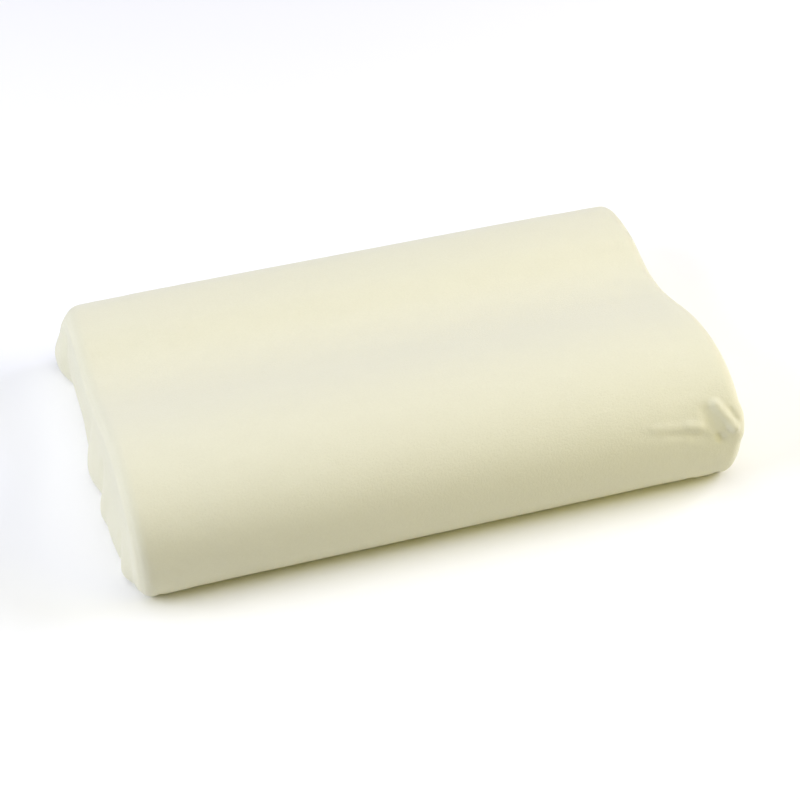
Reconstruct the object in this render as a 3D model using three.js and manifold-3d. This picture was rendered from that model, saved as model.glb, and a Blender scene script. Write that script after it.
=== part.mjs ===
// A contour bed pillow: a moulded foam core in a knitted liner, inside a zipped velour cover.
// Millimetres. +X runs along the pillow, +Y towards the rear, low lobe, and +Z up.
// The origin is the centre of the base.
import * as THREE from "three";
import { mergeVertices } from "three/addons/utils/BufferGeometryUtils.js";
import Module from "manifold-3d";

const wasm = await Module();
wasm.setup();

// ---- Driving dimensions: the closed cover's outside ----
const LENGTH = 500;
const DEPTH = 315;
const FRONT_CREST = { y: -82, z: 98 };
const VALLEY = { y: 52, z: 65 };
const REAR_CREST = { y: 99, z: 72 };
const FRONT_BULGE_Z = 41; // height of the foremost line
const REAR_FLAT = { low: 25, high: 47 }; // flat strip of the rear face, which carries the zip
const BASE_RADIUS = { front: 24, rear: 27 };
const END_RADIUS = 13; // rounding of the edges round both ends

// How full each curve of the outline is: the share of its span that a Bezier handle takes.
const FULLNESS = { base: 0.552, front: 0.605, rear: 0.63, wave: 0.38 };

// ---- Layers, from the outside in ----
const GAP = 0.3; // clearance between pieces that touch
const VELOUR = 2;
const OVERLOCK = { inset: VELOUR + GAP, thick: 2, width: 6, fromEnd: 14 };
const LINER = { inset: 4.8, thick: 0.8 };
const CORE_INSET = LINER.inset + LINER.thick + GAP;
const COVER_SEAM = 3; // the end seams lie this far in from the ends
const LINER_SEAM = LINER.inset + 3;

// ---- Zip, along the middle of the rear flat ----
const ZIP_Z = (REAR_FLAT.low + REAR_FLAT.high) / 2;
const CHAIN = 400; // length of the two coils
const CHAIN_X = -10; // middle of the chain: off centre, to leave room for the label
const WINDOW = { length: CHAIN + 12, height: 10 }; // opening that the cover leaves for the chain
const SPLIT = 0.5; // half the gap between the two halves, where the slider's divider runs
const TAPE = { length: CHAIN + 24, outer: 11, depth: -2.6, thick: 0.6 };
const COIL = { outer: 3.1, depth: -1.4, thick: 1.6 };
const STOP = { length: 3, outer: 3.1, gap: 0.5 };
const SLIDER = { length: 13, width: 9.2, plate: 1, topFace: 0.7, backFace: -4.3, corner: 2 };
const FLANGE = { thick: 1, foot: -2, length: 12 };
const DIVIDER = { thick: 0.5, length: 2.5, fromTip: 0.5 };
const CROWN = { length: 8, height: 3.2, width: 2.4, wall: 1 };
const PULL = { length: 26, width: 6.8, tipWidth: 5, thick: 1.2, eyeLength: 6.2, eyeWidth: 3.8, rise: 1.2 };
const SLIDER_X = CHAIN / 2 + STOP.gap - GAP - SLIDER.length / 2; // closed, against the top stops

// ---- Sewing and label ----
const TOPSTITCH = { length: CHAIN + 6, fromWindow: 2.6, height: 0.8, thick: 0.4, proud: 0.1 };
const LABEL = { x: 224.5, width: 26, drop: 28, thick: 0.8, seam: 1, stitchHeight: 0.8 };

const ARC_STEPS = 9; // odd, so that no point falls on the inflection of a wave
const EDGE_STEPS = 3;

const finishes = {
  velour: { color: "#ece8d2", roughness: 0.95, metalness: 0 },
  linerKnit: { color: "#f1f0ea", roughness: 0.9, metalness: 0 },
  foam: { color: "#f3e9bf", roughness: 0.95, metalness: 0 },
  tape: { color: "#e9e5d3", roughness: 0.9, metalness: 0 },
  coil: { color: "#eeeadb", roughness: 0.4, metalness: 0 },
  metal: { color: "#c3c4c2", roughness: 0.28, metalness: 1 },
  thread: { color: "#efead6", roughness: 0.7, metalness: 0 },
  label: { color: "#f6f5f0", roughness: 0.45, metalness: 0 },
};
const materials = Object.fromEntries(
  Object.entries(finishes).map(([name, finish]) => [name, new THREE.MeshStandardMaterial(finish)]),
);

// ---- Solids ----

// A closed geometry as a manifold-3d solid.
function solid(geometry) {
  const bare = geometry.clone();
  bare.deleteAttribute("normal");
  bare.deleteAttribute("uv");
  const merged = mergeVertices(bare, 1e-4);
  const mesh = new wasm.Mesh({
    numProp: 3,
    vertProperties: merged.attributes.position.array,
    triVerts: new Uint32Array(merged.index.array),
  });
  return new wasm.Manifold(mesh);
}

function geometryOf(body) {
  const { vertProperties, triVerts } = body.getMesh();
  const geometry = new THREE.BufferGeometry();
  geometry.setAttribute("position", new THREE.BufferAttribute(vertProperties, 3));
  geometry.setIndex(new THREE.BufferAttribute(triVerts, 1));
  geometry.computeVertexNormals();
  return geometry;
}

function named(name, material, geometry) {
  const mesh = new THREE.Mesh(geometry, material);
  mesh.name = name;
  return mesh;
}

// The two ends of a span of a given width about its middle.
function about(middle, width) {
  return [middle - width / 2, middle + width / 2];
}

// A box between two values on each axis.
function box([x0, x1], [y0, y1], [z0, z1]) {
  const geometry = new THREE.BoxGeometry(x1 - x0, y1 - y0, z1 - z0);
  return geometry.translate((x0 + x1) / 2, (y0 + y1) / 2, (z0 + z1) / 2);
}

// ---- The pillow's outline, in the plane of Y and Z ----

// Rounds a corner to (y, z), leaving along the first axis named and arriving along the other.
function corner(shape, y, z, leaving, fullness) {
  const { x: y0, y: z0 } = shape.currentPoint;
  if (leaving === "y") {
    shape.bezierCurveTo(y0 + fullness * (y - y0), z0, y, z - fullness * (z - z0), y, z);
  } else {
    shape.bezierCurveTo(y0, z0 + fullness * (z - z0), y - fullness * (y - y0), z, y, z);
  }
}

// A wave to (y, z) that leaves and arrives level.
function wave(shape, y, z) {
  const { x: y0, y: z0 } = shape.currentPoint;
  const handle = FULLNESS.wave * (y - y0);
  shape.bezierCurveTo(y0 + handle, z0, y - handle, z, y, z);
}

// Base, rear face, low lobe, valley, high lobe and front face.
function outline() {
  const front = -DEPTH / 2;
  const rear = DEPTH / 2;
  const shape = new THREE.Shape();
  shape.moveTo(front + BASE_RADIUS.front, 0);
  shape.lineTo(rear - BASE_RADIUS.rear, 0);
  corner(shape, rear, REAR_FLAT.low, "y", FULLNESS.base);
  shape.lineTo(rear, REAR_FLAT.high);
  corner(shape, REAR_CREST.y, REAR_CREST.z, "z", FULLNESS.rear);
  wave(shape, VALLEY.y, VALLEY.z);
  wave(shape, FRONT_CREST.y, FRONT_CREST.z);
  corner(shape, front, FRONT_BULGE_Z, "y", FULLNESS.front);
  corner(shape, front + BASE_RADIUS.front, 0, "z", FULLNESS.base);
  return shape;
}

const alongX = new THREE.Matrix4().makeBasis(
  new THREE.Vector3(0, 1, 0),
  new THREE.Vector3(0, 0, 1),
  new THREE.Vector3(1, 0, 0),
);

// The whole pillow's form, drawn in by an inset on every side, with its end edges rounded.
function form(inset) {
  const straight = LENGTH - 2 * END_RADIUS;
  const geometry = new THREE.ExtrudeGeometry(outline(), {
    depth: straight,
    steps: 1,
    curveSegments: ARC_STEPS,
    bevelSegments: EDGE_STEPS,
    bevelThickness: END_RADIUS - inset,
    bevelSize: END_RADIUS - inset,
    bevelOffset: -END_RADIUS,
  });
  geometry.translate(0, 0, -straight / 2).applyMatrix4(alongX);
  return solid(geometry);
}

function layer(inset, thick) {
  return form(inset).subtract(form(inset + thick));
}

// Everything between two planes across the pillow.
function slab(x0, x1) {
  return solid(box([x0, x1], [-DEPTH, DEPTH], [-DEPTH, DEPTH]));
}

// A layer cut at its two end seams: the piece between them, and the two ends.
function sewnTube(body, seam) {
  const half = LENGTH / 2;
  const at = half - seam;
  return {
    tube: body.intersect(slab(-at + GAP / 2, at - GAP / 2)),
    left: body.intersect(slab(-half - 1, -at - GAP / 2)),
    right: body.intersect(slab(at + GAP / 2, half + 1)),
  };
}

// ---- Foam, liner and cover ----

function core() {
  return [named("foam_core", materials.foam, geometryOf(form(CORE_INSET)))];
}

function liner() {
  const { tube, left, right } = sewnTube(layer(LINER.inset, LINER.thick), LINER_SEAM);
  return [
    named("liner_sleeve", materials.linerKnit, geometryOf(tube)),
    named("liner_end_left", materials.linerKnit, geometryOf(left)),
    named("liner_end_right", materials.linerKnit, geometryOf(right)),
  ];
}

function cover() {
  const { tube, left, right } = sewnTube(layer(0, VELOUR), COVER_SEAM);
  const opening = box(
    about(CHAIN_X, WINDOW.length),
    [DEPTH / 2 - 2 * VELOUR, DEPTH / 2 + VELOUR],
    about(ZIP_Z, WINDOW.height),
  );
  return [
    named("cover_wrap_panel", materials.velour, geometryOf(tube.subtract(solid(opening)))),
    named("cover_end_panel_left", materials.velour, geometryOf(left)),
    named("cover_end_panel_right", materials.velour, geometryOf(right)),
  ];
}

// The overlocked allowance inside each end seam of the cover.
function overlocks() {
  const ring = layer(OVERLOCK.inset, OVERLOCK.thick);
  const outer = LENGTH / 2 - OVERLOCK.fromEnd + OVERLOCK.width;
  const inner = LENGTH / 2 - OVERLOCK.fromEnd;
  return [
    named("end_seam_overlock_left", materials.thread, geometryOf(ring.intersect(slab(-outer, -inner)))),
    named("end_seam_overlock_right", materials.thread, geometryOf(ring.intersect(slab(inner, outer)))),
  ];
}

// ---- Zip. Its own frame: X along the chain, Y out from the cover's rear face, Z across ----

// A span across the zip on its upper (+1) or lower (-1) side.
function across(side, near, far) {
  return side > 0 ? [near, far] : [-far, -near];
}

// One half of the zip: tape, coil and top stop.
function zipHalf(label, side) {
  const tape = box(about(0, TAPE.length), about(TAPE.depth, TAPE.thick), across(side, SPLIT, TAPE.outer));
  const radius = (COIL.outer - SPLIT) / 2;
  const coil = new THREE.CylinderGeometry(radius, radius, CHAIN, 10).rotateZ(Math.PI / 2);
  coil.scale(1, COIL.thick / 2 / radius, 1);
  coil.translate(0, COIL.depth, side * (SPLIT + radius));
  const stopFrom = CHAIN / 2 + STOP.gap;
  const stop = box(
    [stopFrom, stopFrom + STOP.length],
    about(COIL.depth, COIL.thick),
    across(side, SPLIT, STOP.outer),
  );
  return [
    named(`zip_tape_${label}`, materials.tape, tape),
    named(`zip_coil_${label}`, materials.coil, coil),
    named(`zip_top_stop_${label}`, materials.metal, stop),
  ];
}

function bottomStop() {
  const to = -CHAIN / 2 - STOP.gap;
  const geometry = box([to - STOP.length, to], about(COIL.depth, COIL.thick), [-STOP.outer, STOP.outer]);
  return named("zip_bottom_stop", materials.metal, geometry);
}

// A plate in the plane of X and Z with round corners, between two values on Y.
function plate(length, width, radius, [y0, y1]) {
  const [l, w] = [length / 2, width / 2];
  const shape = new THREE.Shape();
  shape.moveTo(-l + radius, -w);
  shape.absarc(l - radius, -w + radius, radius, -Math.PI / 2, 0);
  shape.absarc(l - radius, w - radius, radius, 0, Math.PI / 2);
  shape.absarc(-l + radius, w - radius, radius, Math.PI / 2, Math.PI);
  shape.absarc(-l + radius, -w + radius, radius, Math.PI, 1.5 * Math.PI);
  const options = { depth: y1 - y0, bevelEnabled: false, curveSegments: 5 };
  return new THREE.ExtrudeGeometry(shape, options).rotateX(Math.PI / 2).translate(0, y1, 0);
}

// An arch's outline in the plane of X and Y: upright legs, rounded shoulders, and a flat foot.
function archOutline(halfLength, height, foot) {
  const round = height / 2;
  const shape = new THREE.Shape();
  shape.moveTo(-halfLength, foot);
  shape.lineTo(halfLength, foot);
  shape.lineTo(halfLength, height - round);
  shape.absarc(halfLength - round, height - round, round, 0, Math.PI / 2);
  shape.absarc(-halfLength + round, height - round, round, Math.PI / 2, Math.PI);
  shape.closePath();
  return shape;
}

// The arch on the slider that holds the pull.
function crown() {
  const bar = (outline, width) => {
    const options = { depth: width, bevelEnabled: false, curveSegments: 4 };
    return solid(new THREE.ExtrudeGeometry(outline, options).translate(0, 0, -width / 2));
  };
  const inside = archOutline(CROWN.length / 2 - CROWN.wall, CROWN.height - CROWN.wall, -SLIDER.plate);
  const outside = archOutline(CROWN.length / 2, CROWN.height, -SLIDER.plate / 2);
  const arch = bar(outside, CROWN.width).subtract(bar(inside, 2 * CROWN.width));
  return arch.translate([0, SLIDER.topFace, 0]);
}

// Two plates joined by the divider, with flanges that keep the coils in, and the crown on top.
function sliderBody() {
  const { length, width, corner: radius, topFace, backFace, plate: thick } = SLIDER;
  let body = solid(plate(length, width, radius, [topFace - thick, topFace]));
  body = body.add(solid(plate(length, width, radius, [backFace, backFace + thick])));
  const underTop = topFace - thick;
  for (const side of [1, -1]) {
    const flange = box(
      about(0, FLANGE.length - 2 * radius),
      [FLANGE.foot, underTop + thick / 2],
      across(side, width / 2 - FLANGE.thick, width / 2),
    );
    body = body.add(solid(flange));
  }
  const tip = length / 2 - DIVIDER.fromTip;
  const divider = box(
    [tip - DIVIDER.length, tip],
    [backFace + thick / 2, topFace - thick / 2],
    about(0, DIVIDER.thick),
  );
  body = body.add(solid(divider)).add(crown());
  return named("zip_slider_body", materials.metal, geometryOf(body));
}

// A flat tab whose eye hangs on the crown. It points back along the chain from its pivot at the origin.
function pullTab() {
  const lip = PULL.thick / 2;
  const [root, tip, reach] = [PULL.width / 2, PULL.tipWidth / 2, -PULL.length];
  const shape = new THREE.Shape();
  shape.moveTo(lip, -root);
  shape.lineTo(lip, root);
  shape.lineTo(-PULL.eyeLength - 2, root);
  shape.lineTo(reach + tip, tip);
  shape.absarc(reach + tip, 0, tip, Math.PI / 2, 1.5 * Math.PI);
  shape.lineTo(-PULL.eyeLength - 2, -root);
  shape.closePath();
  const eye = new THREE.Path();
  eye.moveTo(-lip, -PULL.eyeWidth / 2);
  eye.lineTo(-lip - PULL.eyeLength, -PULL.eyeWidth / 2);
  eye.lineTo(-lip - PULL.eyeLength, PULL.eyeWidth / 2);
  eye.lineTo(-lip, PULL.eyeWidth / 2);
  eye.closePath();
  shape.holes.push(eye);
  const options = { depth: PULL.thick, bevelEnabled: false, curveSegments: 8 };
  const geometry = new THREE.ExtrudeGeometry(shape, options).translate(0, 0, -lip).rotateX(Math.PI / 2);
  return named("zip_pull_tab", materials.metal, geometry);
}

function zip() {
  const group = new THREE.Group();
  group.position.set(CHAIN_X, DEPTH / 2, ZIP_Z);
  const slider = new THREE.Group();
  slider.position.x = SLIDER_X;
  const pull = pullTab();
  pull.position.y = SLIDER.topFace + PULL.rise;
  slider.add(sliderBody(), pull);
  group.add(...zipHalf("upper", 1), ...zipHalf("lower", -1), bottomStop(), slider);
  return group;
}

// ---- Sewing and label on the rear face ----

function topstitches() {
  const offset = WINDOW.height / 2 + TOPSTITCH.fromWindow;
  const out = [DEPTH / 2 + TOPSTITCH.proud, DEPTH / 2 + TOPSTITCH.proud + TOPSTITCH.thick];
  return [1, -1].map((side) => {
    const row = box(about(CHAIN_X, TOPSTITCH.length), out, about(ZIP_Z + side * offset, TOPSTITCH.height));
    return named(side > 0 ? "zip_topstitch_upper" : "zip_topstitch_lower", materials.thread, row);
  });
}

// A folded label that hangs from the seam beside the zip, and the stitching that holds it.
function careLabel() {
  const top = ZIP_Z - LABEL.seam;
  const span = about(LABEL.x, LABEL.width);
  const out = [DEPTH / 2 + GAP, DEPTH / 2 + GAP + LABEL.thick];
  const stitching = box(about(LABEL.x, LABEL.width - 2), out, [top + GAP, top + GAP + LABEL.stitchHeight]);
  return [
    named("care_label", materials.label, box(span, out, [top - LABEL.drop, top])),
    named("care_label_stitching", materials.thread, stitching),
  ];
}

const pillow = new THREE.Group();
pillow.add(...core(), ...liner(), ...cover(), ...overlocks(), zip(), ...topstitches(), ...careLabel());

export default pillow;
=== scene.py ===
"""A contour bed pillow in a velour cover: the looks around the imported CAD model. Metres, +Z up."""

import math

import bpy
import numpy as np
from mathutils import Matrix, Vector
from mathutils.geometry import delaunay_2d_cdt


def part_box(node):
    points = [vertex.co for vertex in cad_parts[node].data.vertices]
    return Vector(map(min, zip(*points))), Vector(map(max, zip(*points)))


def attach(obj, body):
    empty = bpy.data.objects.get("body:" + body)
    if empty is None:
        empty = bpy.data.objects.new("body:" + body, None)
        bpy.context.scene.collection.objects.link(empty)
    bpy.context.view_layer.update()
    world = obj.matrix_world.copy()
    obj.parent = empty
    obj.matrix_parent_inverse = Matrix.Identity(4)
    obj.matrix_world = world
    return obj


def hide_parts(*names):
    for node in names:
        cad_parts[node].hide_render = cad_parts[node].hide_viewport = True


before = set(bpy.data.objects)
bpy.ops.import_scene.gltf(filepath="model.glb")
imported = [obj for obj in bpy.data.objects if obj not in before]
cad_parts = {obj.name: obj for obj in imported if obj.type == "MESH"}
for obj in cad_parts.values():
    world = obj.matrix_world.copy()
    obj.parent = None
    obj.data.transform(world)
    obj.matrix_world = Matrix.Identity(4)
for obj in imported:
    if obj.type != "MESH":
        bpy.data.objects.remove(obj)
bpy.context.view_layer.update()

MM = 0.001

# ---- Camera: placed first ----
AZIMUTH = math.radians(-16.83)  # 0 looks along +Y
ELEVATION = math.radians(42.05)
DISTANCE = 1.8207
TARGET = Vector((0, 0, 0.045))
LENS = 98.71  # mm, on a 36 mm sensor
SHIFT = (0.0088, -0.0286)


def make_camera():
    flat = math.cos(ELEVATION)
    towards = Vector((math.sin(AZIMUTH) * flat, -math.cos(AZIMUTH) * flat, math.sin(ELEVATION)))
    data = bpy.data.cameras.new("camera")
    data.lens = LENS
    data.shift_x, data.shift_y = SHIFT
    data.clip_start, data.clip_end = 0.01, 50
    camera = bpy.data.objects.new("camera", data)
    camera.location = TARGET + DISTANCE * towards
    camera.rotation_euler = towards.to_track_quat("Z", "Y").to_euler()
    bpy.context.scene.collection.objects.link(camera)
    bpy.context.scene.camera = camera


make_camera()

# ---- The pillow's outline, as the CAD model has it ----
COVER_LOW, COVER_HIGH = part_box("cover_wrap_panel")
HALF_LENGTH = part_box("cover_end_panel_right")[1].x
FRONT, REAR = COVER_LOW.y, COVER_HIGH.y
FRONT_CREST = (-82 * MM, COVER_HIGH.z)
VALLEY = (52 * MM, 65 * MM)
REAR_CREST = (99 * MM, 72 * MM)
FRONT_BULGE_Z = 41 * MM
REAR_FLAT = (25 * MM, 47 * MM)
FRONT_FOOT = FRONT + 24 * MM
REAR_FOOT = REAR - 27 * MM
BASE_FULL, FRONT_FULL, REAR_FULL, WAVE_FULL = 0.552, 0.605, 0.63, 0.38  # shares of a curve's handles
OUTLINE_STEPS = 160  # in each stretch of the outline
END_RADIUS = 13 * MM
SEAM_CLEAR = 0.15 * MM  # from a CAD panel's edge to its seam
SEAM_X = COVER_HIGH.x + SEAM_CLEAR  # the cover's end seams
LINER_SEAM_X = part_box("liner_sleeve")[1].x + SEAM_CLEAR
LINER_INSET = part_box("liner_sleeve")[0].z
CORE_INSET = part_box("foam_core")[0].z
COVER_THICK = 1.5 * MM
LINER_THICK = 0.7 * MM
FLAT_HALF = HALF_LENGTH - END_RADIUS  # half the length between the rounded ends
CELL = 3.6 * MM  # the cover's mesh, where nothing small happens


def along_curve():
    """Shares of a stretch of the outline, its far end left out."""
    return np.linspace(0, 1, OUTLINE_STEPS, endpoint=False)[:, None]


def bezier(p0, p1, p2, p3):
    t = along_curve()
    p0, p1, p2, p3 = (np.array(p) for p in (p0, p1, p2, p3))
    return (1 - t) ** 3 * p0 + 3 * t * (1 - t) ** 2 * p1 + 3 * t * t * (1 - t) * p2 + t**3 * p3


def corner(start, end, leaving, full):
    """A rounded corner that leaves along one axis (0 is Y, 1 is Z) and arrives along the other."""
    first, last = list(start), list(end)
    first[leaving] += full * (end[leaving] - start[leaving])
    last[1 - leaving] -= full * (end[1 - leaving] - start[1 - leaving])
    return bezier(start, first, last, end)


def wave(start, end):
    """A wave that leaves and arrives level."""
    handle = WAVE_FULL * (end[0] - start[0])
    return bezier(start, (start[0] + handle, start[1]), (end[0] - handle, end[1]), end)


def line(start, end):
    t = along_curve()
    return np.array(start) * (1 - t) + np.array(end) * t


def dense_outline():
    """The outline from the middle of the base, round the rear, over the top and down the front."""
    middle = (0.0, 0.0)
    pieces = [
        line(middle, (REAR_FOOT, 0)),
        corner((REAR_FOOT, 0), (REAR, REAR_FLAT[0]), 0, BASE_FULL),
        line((REAR, REAR_FLAT[0]), (REAR, REAR_FLAT[1])),
        corner((REAR, REAR_FLAT[1]), REAR_CREST, 1, REAR_FULL),
        wave(REAR_CREST, VALLEY),
        wave(VALLEY, FRONT_CREST),
        corner(FRONT_CREST, (FRONT, FRONT_BULGE_Z), 0, FRONT_FULL),
        corner((FRONT, FRONT_BULGE_Z), (FRONT_FOOT, 0), 1, BASE_FULL),
        line((FRONT_FOOT, 0), middle),
    ]
    return np.concatenate(pieces)


DENSE = dense_outline()
ROUND = np.concatenate([DENSE, DENSE[:1]])
ARC = np.concatenate([[0], np.cumsum(np.linalg.norm(np.diff(ROUND, axis=0), axis=1))])
PERIMETER = ARC[-1]


def unit(vectors):
    return vectors / np.linalg.norm(vectors, axis=1)[:, None]


def on_outline(s):
    """Points (y, z) and outward normals at arc lengths s."""
    def at(values):
        values = np.mod(values, PERIMETER)
        return np.stack([np.interp(values, ARC, ROUND[:, k]) for k in (0, 1)], 1)

    step = 1.5 * MM
    tangent = unit(at(s + step) - at(s - step))
    return at(s), np.stack([tangent[:, 1], -tangent[:, 0]], 1)


def spread(breaks, spacing):
    """Values over the breaks, each break among them; spacing is the widest gap in each stretch."""
    values = []
    for low, high, gap in zip(breaks, breaks[1:], spacing):
        values.extend(np.linspace(low, high, max(1, math.ceil((high - low) / gap)), endpoint=False))
    return np.array(values + [breaks[-1]])


# ---- Meshes from numpy ----
def new_object(name, points, faces):
    mesh = bpy.data.meshes.new(name)
    mesh.from_pydata([tuple(p) for p in points], [], [tuple(f) for f in faces])
    mesh.validate()
    mesh.update()
    mesh.polygons.foreach_set("use_smooth", [True] * len(mesh.polygons))
    piece = bpy.data.objects.new(name, mesh)
    bpy.context.scene.collection.objects.link(piece)
    return piece


def vertex_normals(points, faces):
    """Each point's normal; larger faces count for more."""
    normals = np.zeros_like(points)
    for size in {len(f) for f in faces}:
        block = np.array([f for f in faces if len(f) == size])
        corners = points[block]
        if size == 4:
            area = np.cross(corners[:, 2] - corners[:, 0], corners[:, 3] - corners[:, 1])
        else:
            area = np.cross(corners[:, 1] - corners[:, 0], corners[:, 2] - corners[:, 0])
        for k in range(size):
            np.add.at(normals, block[:, k], area)
    return normals / np.maximum(np.linalg.norm(normals, axis=1)[:, None], 1e-12)


def part_of(points, faces):
    """Which points the faces use, and the faces counted in those."""
    used = np.unique(np.concatenate([np.array(f) for f in faces]))
    index = np.full(len(points), -1)
    index[used] = np.arange(len(used))
    return used, [tuple(index[list(f)]) for f in faces]


def thicken(points, faces, thickness):
    """Closed cloth: the faces, the same turned round one thickness further in, and the edges' strips."""
    inner = points - vertex_normals(points, faces) * thickness
    count = len(points)
    made = list(faces) + [tuple(v + count for v in reversed(f)) for f in faces]
    edges = dict.fromkeys((a, b) for f in faces for a, b in zip(f, f[1:] + f[:1]))
    made += [(b, a, a + count, b + count) for a, b in edges if (b, a) not in edges]
    return np.concatenate([points, inner]), made


class Form:
    """The whole pillow's surface at an inset: rings from the left end to the right, and two caps.

    arcs are the rings' places round the outline, and straight the rings' x between the rounded ends.
    Each rounded end has end_steps rings before and after its seam.
    """

    def __init__(self, arcs, straight, inset=0.0, seam=SEAM_X, end_steps=(9, 7), cap_gap=CELL):
        self.arcs = arcs
        before, after = end_steps
        radius = END_RADIUS - inset
        seam_angle = math.asin((seam - FLAT_HALF) / radius)
        low = np.linspace(0, seam_angle, before, endpoint=False)[1:]
        angles = np.concatenate([low, np.linspace(seam_angle, math.pi / 2, after + 1)])
        right = [(FLAT_HALF + radius * math.sin(a), inset + radius * (1 - math.cos(a))) for a in angles]
        left = [(-x, drawn) for x, drawn in reversed(right)]
        rings = left + [(x, inset) for x in straight] + right
        self.seam_rings = (after, len(rings) - 1 - after)
        self.ring_x = np.array([x for x, _ in rings])
        around, normal = on_outline(arcs)
        blocks = [np.column_stack([np.full(len(arcs), x), around - normal * drawn]) for x, drawn in rings]
        self.faces, self.zone = [], []  # each face, and its place: ring and number round the ring
        self.join_rings(len(rings))
        for side, ring in ((-1, 0), (1, len(rings) - 1)):
            blocks.append(self.close(side, ring, blocks, cap_gap))
        self.points = np.concatenate(blocks)
        self.normals = vertex_normals(self.points, self.faces)

    def join_rings(self, rings):
        count = len(self.arcs)
        for r in range(rings - 1):
            a, b = r * count, (r + 1) * count
            for i in range(count):
                j = (i + 1) % count
                self.faces.append((a + i, a + j, b + j, b + i))
                self.zone.append((r, i))

    def close(self, side, ring, blocks, gap):
        """Caps the ring, and gives the cap's own points."""
        count = len(self.arcs)
        start = sum(len(block) for block in blocks)
        rim = blocks[ring]
        inner, triangles = fill_cap(rim[:, 1:], gap)
        for t in triangles:
            ids = tuple(ring * count + v if v < count else start + v - count for v in t)
            self.faces.append(ids if side > 0 else ids[::-1])
            self.zone.append((-1 if side < 0 else len(self.ring_x), 0))
        return np.column_stack([np.full(len(inner), rim[0, 0]), inner])

    def panels(self):
        """The faces of the left end, of the wrap (each with its place) and of the right end."""
        first, last = self.seam_rings
        placed = list(zip(self.faces, self.zone))
        left = [f for f, (ring, _) in placed if ring < first]
        right = [f for f, (ring, _) in placed if ring >= last]
        wrap = [(f, zone) for f, zone in placed if first <= zone[0] < last]
        return left, wrap, right


INSIDE_ONLY = 1  # the triangulation's output type


def fill_cap(rim, gap):
    """Points on a triangular grid inside a closed rim, and triangles; these count the rim first."""
    low, high = rim.min(0), rim.max(0)
    rows = []
    for k, z in enumerate(np.arange(low[1] + gap / 2, high[1], gap * math.sqrt(3) / 2)):
        y = np.arange(low[0] + (gap / 2 if k % 2 else 0), high[0], gap)
        rows.append(np.column_stack([y, np.full(len(y), z)]))
    grid = np.concatenate(rows)
    after = np.roll(rim, -1, 0)
    edge = after - rim
    inside = np.zeros(len(grid), bool)
    for p, q in zip(rim, after):
        crosses = (p[1] > grid[:, 1]) != (q[1] > grid[:, 1])
        if crosses.any():
            at = p[0] + (grid[:, 1] - p[1]) / (q[1] - p[1] + 1e-15) * (q[0] - p[0])
            inside ^= crosses & (grid[:, 0] < at)
    offset = grid[:, None] - rim[None]
    t = np.clip((offset * edge).sum(2) / (edge**2).sum(1), 0, 1)
    distance = np.linalg.norm(offset - t[..., None] * edge, axis=2).min(1)
    grid = grid[inside & (distance > 0.6 * gap)]
    points = [Vector(p) for p in np.concatenate([rim, grid])]
    count = len(rim)
    loop = [(i, (i + 1) % count) for i in range(count)]
    made, _, triangles, *_ = delaunay_2d_cdt(points, loop, [], INSIDE_ONLY, 1e-9)
    if len(made) != len(points):
        raise RuntimeError("the cap's points were merged")
    return grid, [tuple(t) for t in triangles]


# ---- Zip window, from the CAD nodes ----
TAPE_LOW, TAPE_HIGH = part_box("zip_tape_lower")[0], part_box("zip_tape_upper")[1]
ZIP_Z = (TAPE_LOW.z + TAPE_HIGH.z) / 2
ZIP_X = (TAPE_LOW.x + TAPE_HIGH.x) / 2
WINDOW_HALF = (206 * MM, 5 * MM)  # half the length and height of the cover's opening over the zip


def arc_at_rear(z):
    """Arc length of the point at height z on the rear flat."""
    start = np.argmax(DENSE[:, 0] >= REAR - 1e-9)
    return ARC[start] + (z - DENSE[start, 1])


def arc_at_front(z):
    """Arc length of the point at height z on the front, above its bulge."""
    ahead = (DENSE[:, 0] < FRONT_CREST[0]) & (DENSE[:, 1] > FRONT_BULGE_Z)
    return ARC[:-1][ahead][np.argmin(np.abs(DENSE[ahead, 1] - z))]


WINDOW_ARCS = (arc_at_rear(ZIP_Z - WINDOW_HALF[1]), arc_at_rear(ZIP_Z + WINDOW_HALF[1]))
WINDOW_ENDS = (ZIP_X - WINDOW_HALF[0], ZIP_X + WINDOW_HALF[0])


# ---- Relief: how the slack cover departs from the plain form ----
def bump(distance, power=2):
    """1 at 0, falling smoothly to 0 at 1 and beyond; a higher power gives a broader top."""
    d = np.clip(np.abs(distance), 0, 1)
    return (1 - d**power) ** 2


def smooth(limits, value):
    """0 up to the first limit, rising smoothly to 1 at the second."""
    low, high = limits
    t = np.clip((value - low) / (high - low), 0, 1)
    return t * t * (3 - 2 * t)


def to_segment(points, start, end):
    """Distance of each point from a segment."""
    start, end = np.array(start) * MM, np.array(end) * MM
    along = end - start
    t = np.clip((points - start) @ along / max(along @ along, 1e-12), 0, 1)
    return np.linalg.norm(points - start - t[:, None] * along, axis=1)


# Slack cloth at the foot of an end: y of its middle, half width and how far out in mm, and bump power.
LEFT_LUMPS = (
    (152, 40, 6.3, 4),
    (-2, 30, 4.7, 2),
    (-50, 16, 3.2, 2),
    (-72, 40, 2.6, 2),
    (-120, 13, 3.4, 2),
)
RIGHT_LUMPS = ((128, 34, 3.0, 2), (66, 30, 2.2, 2), (-12, 48, 3.0, 2), (-92, 36, 2.0, 2))
# How the feet are let out, in mm: evenly at the left and at the right, and a share of the lumps.
BEFORE_DRAPE = (6.0, 3.5, 0.4)
AFTER_DRAPE = (2.0, 0.5, 0.75)
# Where the even part comes in along Y, then lets up by a share; where a foot ends, in Z and X; in mm.
FOOT_COMES_IN = (-138, -104)
FOOT_LETS_UP = (20, 70)
FOOT_LET_UP_SHARE = 0.35
FOOT_TOP = (14, 62)
FOOT_ROOT = (225, 246)
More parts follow.
